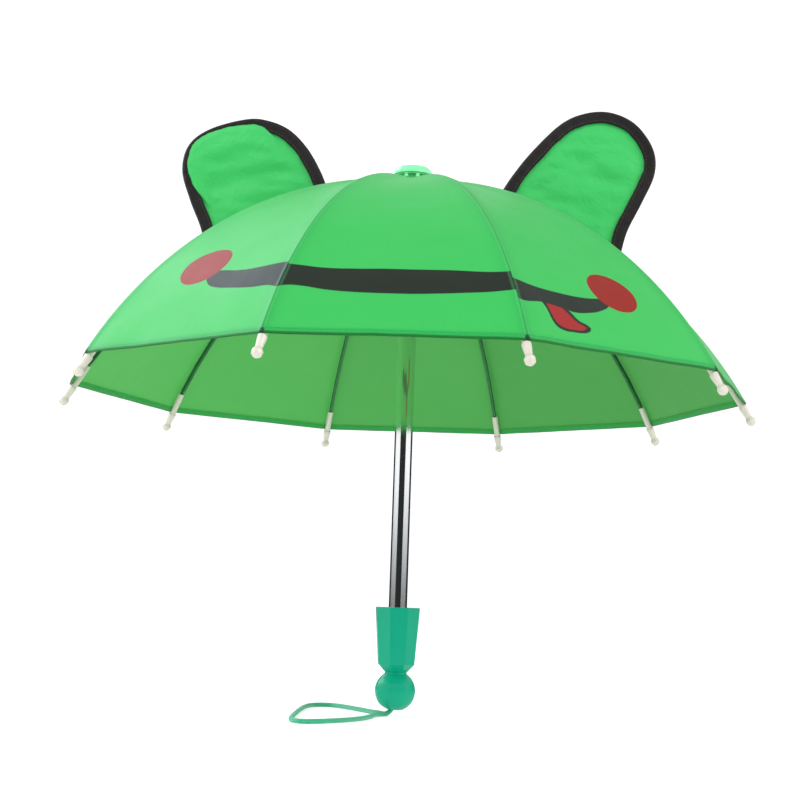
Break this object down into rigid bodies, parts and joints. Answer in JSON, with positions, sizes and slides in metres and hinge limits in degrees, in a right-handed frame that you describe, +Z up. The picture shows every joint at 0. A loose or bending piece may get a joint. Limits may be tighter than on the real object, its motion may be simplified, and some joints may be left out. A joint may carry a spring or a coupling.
{
  "type": "child's umbrella",
  "caption": "Open child's umbrella with a frog-face fabric cover, two upright ears, folding rib frame with sliding runner, chrome shaft, faceted grip with ball end and a wrist strap.",
  "frame": {"origin": "on the shaft's axis, at the middle of the grip", "axes": "+Z up along the shaft to the cap, -Y towards the face side of the cover, +X to the right when facing the face"},
  "size_m": [0.3088, 0.2938, 0.272],
  "materials": {
    "shaft_chrome": "polished",
    "handle_plastic": "glossy moulded",
    "cap_plastic": "glossy moulded",
    "tip_plastic": "satin moulded",
    "white_plastic": "moulded",
    "frame_steel": "drawn wire and strip",
    "cover_fabric": "thin plain-weave synthetic with slight sheen",
    "ear_fabric": "thin plain-weave synthetic, slightly wrinkled",
    "binding_tape": "woven tape",
    "strap_cord": "braided cord"
  },
  "bodies": {
    "shaft_assembly": {"shaft_tube": "shaft_chrome", "handle": "handle_plastic", "wrist_strap": "strap_cord", "strap_knot": "strap_cord", "crown_notch": "white_plastic", "crown_wire": "frame_steel", "top_cap": "cap_plastic", "canopy_rosette": "cover_fabric", "top_catch_spring": "frame_steel"},
    "runner_assembly": {"runner": "white_plastic", "runner_wire": "frame_steel"},
    "rib_01_assembly": {"rib_01": "frame_steel", "tip_01": "tip_plastic", "gore_01": "cover_fabric"},
    "stretcher_01_body": {"stretcher_01": "frame_steel"},
    "rib_02_assembly": {"rib_02": "frame_steel", "tip_02": "tip_plastic", "gore_02": "cover_fabric"},
    "stretcher_02_body": {"stretcher_02": "frame_steel"},
    "rib_03_assembly": {"rib_03": "frame_steel", "tip_03": "tip_plastic", "gore_03": "cover_fabric", "ear_right": "ear_fabric", "ear_binding_right": "binding_tape"},
    "stretcher_03_body": {"stretcher_03": "frame_steel"},
    "rib_04_assembly": {"rib_04": "frame_steel", "tip_04": "tip_plastic", "gore_04": "cover_fabric"},
    "stretcher_04_body": {"stretcher_04": "frame_steel"},
    "rib_05_assembly": {"rib_05": "frame_steel", "tip_05": "tip_plastic", "gore_05": "cover_fabric"},
    "stretcher_05_body": {"stretcher_05": "frame_steel"},
    "rib_06_assembly": {"rib_06": "frame_steel", "tip_06": "tip_plastic", "gore_06": "cover_fabric"},
    "stretcher_06_body": {"stretcher_06": "frame_steel"},
    "rib_07_assembly": {"rib_07": "frame_steel", "tip_07": "tip_plastic", "gore_07": "cover_fabric"},
    "stretcher_07_body": {"stretcher_07": "frame_steel"},
    "rib_08_assembly": {"rib_08": "frame_steel", "tip_08": "tip_plastic", "gore_08": "cover_fabric", "ear_left": "ear_fabric", "ear_binding_left": "binding_tape"},
    "stretcher_08_body": {"stretcher_08": "frame_steel"},
    "rib_09_assembly": {"rib_09": "frame_steel", "tip_09": "tip_plastic", "gore_09": "cover_fabric"},
    "stretcher_09_body": {"stretcher_09": "frame_steel"},
    "rib_10_assembly": {"rib_10": "frame_steel", "tip_10": "tip_plastic", "gore_10": "cover_fabric"},
    "stretcher_10_body": {"stretcher_10": "frame_steel"}
  },
  "joints": [
    {"name": "runner_slide", "type": "slide", "parent": "shaft_assembly", "child": "runner_assembly", "axis": [0, 0, -1], "range_m": [0, 0.06966], "deforming": ["top_catch_spring"]},
    {"name": "rib_01_hinge", "type": "hinge", "parent": "shaft_assembly", "child": "rib_01_assembly", "pos_m": [0.00192, -0.0059, 0.2024], "axis": [0.9511, 0.309, 0], "range_deg": [0, 52.95], "deforming": ["gore_01"]},
    {"name": "stretcher_01_hinge", "type": "hinge", "parent": "runner_assembly", "child": "stretcher_01_body", "pos_m": [0.00216, -0.00666, 0.15], "axis": [-0.9511, -0.309, 0], "range_deg": [0, 41.7]},
    {"name": "rib_02_hinge", "type": "hinge", "parent": "shaft_assembly", "child": "rib_02_assembly", "pos_m": [0.00502, -0.00364, 0.2024], "axis": [0.5878, 0.809, 0], "range_deg": [0, 52.95], "deforming": ["gore_02"]},
    {"name": "stretcher_02_hinge", "type": "hinge", "parent": "runner_assembly", "child": "stretcher_02_body", "pos_m": [0.00566, -0.00411, 0.15], "axis": [-0.5878, -0.809, 0], "range_deg": [0, 41.7]},
    {"name": "rib_03_hinge", "type": "hinge", "parent": "shaft_assembly", "child": "rib_03_assembly", "pos_m": [0.0062, 0, 0.2024], "axis": [0, 1, 0], "range_deg": [0, 52.95], "deforming": ["gore_03"]},
    {"name": "stretcher_03_hinge", "type": "hinge", "parent": "runner_assembly", "child": "stretcher_03_body", "pos_m": [0.007, 0, 0.15], "axis": [0, -1, 0], "range_deg": [0, 41.7]},
    {"name": "rib_04_hinge", "type": "hinge", "parent": "shaft_assembly", "child": "rib_04_assembly", "pos_m": [0.00502, 0.00364, 0.2024], "axis": [-0.5878, 0.809, 0], "range_deg": [0, 52.95], "deforming": ["gore_04"]},
    {"name": "stretcher_04_hinge", "type": "hinge", "parent": "runner_assembly", "child": "stretcher_04_body", "pos_m": [0.00566, 0.00411, 0.15], "axis": [0.5878, -0.809, 0], "range_deg": [0, 41.7]},
    {"name": "rib_05_hinge", "type": "hinge", "parent": "shaft_assembly", "child": "rib_05_assembly", "pos_m": [0.00192, 0.0059, 0.2024], "axis": [-0.9511, 0.309, 0], "range_deg": [0, 52.95], "deforming": ["gore_05"]},
    {"name": "stretcher_05_hinge", "type": "hinge", "parent": "runner_assembly", "child": "stretcher_05_body", "pos_m": [0.00216, 0.00666, 0.15], "axis": [0.9511, -0.309, 0], "range_deg": [0, 41.7]},
    {"name": "rib_06_hinge", "type": "hinge", "parent": "shaft_assembly", "child": "rib_06_assembly", "pos_m": [-0.00192, 0.0059, 0.2024], "axis": [-0.9511, -0.309, 0], "range_deg": [0, 52.95], "deforming": ["gore_06"]},
    {"name": "stretcher_06_hinge", "type": "hinge", "parent": "runner_assembly", "child": "stretcher_06_body", "pos_m": [-0.00216, 0.00666, 0.15], "axis": [0.9511, 0.309, 0], "range_deg": [0, 41.7]},
    {"name": "rib_07_hinge", "type": "hinge", "parent": "shaft_assembly", "child": "rib_07_assembly", "pos_m": [-0.00502, 0.00364, 0.2024], "axis": [-0.5878, -0.809, 0], "range_deg": [0, 52.95], "deforming": ["gore_07"]},
    {"name": "stretcher_07_hinge", "type": "hinge", "parent": "runner_assembly", "child": "stretcher_07_body", "pos_m": [-0.00566, 0.00411, 0.15], "axis": [0.5878, 0.809, 0], "range_deg": [0, 41.7]},
    {"name": "rib_08_hinge", "type": "hinge", "parent": "shaft_assembly", "child": "rib_08_assembly", "pos_m": [-0.0062, 0, 0.2024], "axis": [0, -1, 0], "range_deg": [0, 52.95], "deforming": ["gore_08"]},
    {"name": "stretcher_08_hinge", "type": "hinge", "parent": "runner_assembly", "child": "stretcher_08_body", "pos_m": [-0.007, 0, 0.15], "axis": [0, 1, 0], "range_deg": [0, 41.7]},
    {"name": "rib_09_hinge", "type": "hinge", "parent": "shaft_assembly", "child": "rib_09_assembly", "pos_m": [-0.00502, -0.00364, 0.2024], "axis": [0.5878, -0.809, 0], "range_deg": [0, 52.95], "deforming": ["gore_09"]},
    {"name": "stretcher_09_hinge", "type": "hinge", "parent": "runner_assembly", "child": "stretcher_09_body", "pos_m": [-0.00566, -0.00411, 0.15], "axis": [-0.5878, 0.809, 0], "range_deg": [0, 41.7]},
    {"name": "rib_10_hinge", "type": "hinge", "parent": "shaft_assembly", "child": "rib_10_assembly", "pos_m": [-0.00192, -0.0059, 0.2024], "axis": [0.9511, -0.309, 0], "range_deg": [0, 52.95], "deforming": ["gore_10"]},
    {"name": "stretcher_10_hinge", "type": "hinge", "parent": "runner_assembly", "child": "stretcher_10_body", "pos_m": [-0.00216, -0.00666, 0.15], "axis": [-0.9511, 0.309, 0], "range_deg": [0, 41.7]}
  ],
  "couplings": [
    {"joint": "rib_01_hinge", "follows": "runner_slide", "rad_per_m": 13.267},
    {"joint": "stretcher_01_hinge", "follows": "runner_slide", "rad_per_m": 10.448},
    {"joint": "rib_02_hinge", "follows": "runner_slide", "rad_per_m": 13.267},
    {"joint": "stretcher_02_hinge", "follows": "runner_slide", "rad_per_m": 10.448},
    {"joint": "rib_03_hinge", "follows": "runner_slide", "rad_per_m": 13.267},
    {"joint": "stretcher_03_hinge", "follows": "runner_slide", "rad_per_m": 10.448},
    {"joint": "rib_04_hinge", "follows": "runner_slide", "rad_per_m": 13.267},
    {"joint": "stretcher_04_hinge", "follows": "runner_slide", "rad_per_m": 10.448},
    {"joint": "rib_05_hinge", "follows": "runner_slide", "rad_per_m": 13.267},
    {"joint": "stretcher_05_hinge", "follows": "runner_slide", "rad_per_m": 10.448},
    {"joint": "rib_06_hinge", "follows": "runner_slide", "rad_per_m": 13.267},
    {"joint": "stretcher_06_hinge", "follows": "runner_slide", "rad_per_m": 10.448},
    {"joint": "rib_07_hinge", "follows": "runner_slide", "rad_per_m": 13.267},
    {"joint": "stretcher_07_hinge", "follows": "runner_slide", "rad_per_m": 10.448},
    {"joint": "rib_08_hinge", "follows": "runner_slide", "rad_per_m": 13.267},
    {"joint": "stretcher_08_hinge", "follows": "runner_slide", "rad_per_m": 10.448},
    {"joint": "rib_09_hinge", "follows": "runner_slide", "rad_per_m": 13.267},
    {"joint": "stretcher_09_hinge", "follows": "runner_slide", "rad_per_m": 10.448},
    {"joint": "rib_10_hinge", "follows": "runner_slide", "rad_per_m": 13.267},
    {"joint": "stretcher_10_hinge", "follows": "runner_slide", "rad_per_m": 10.448}
  ]
}
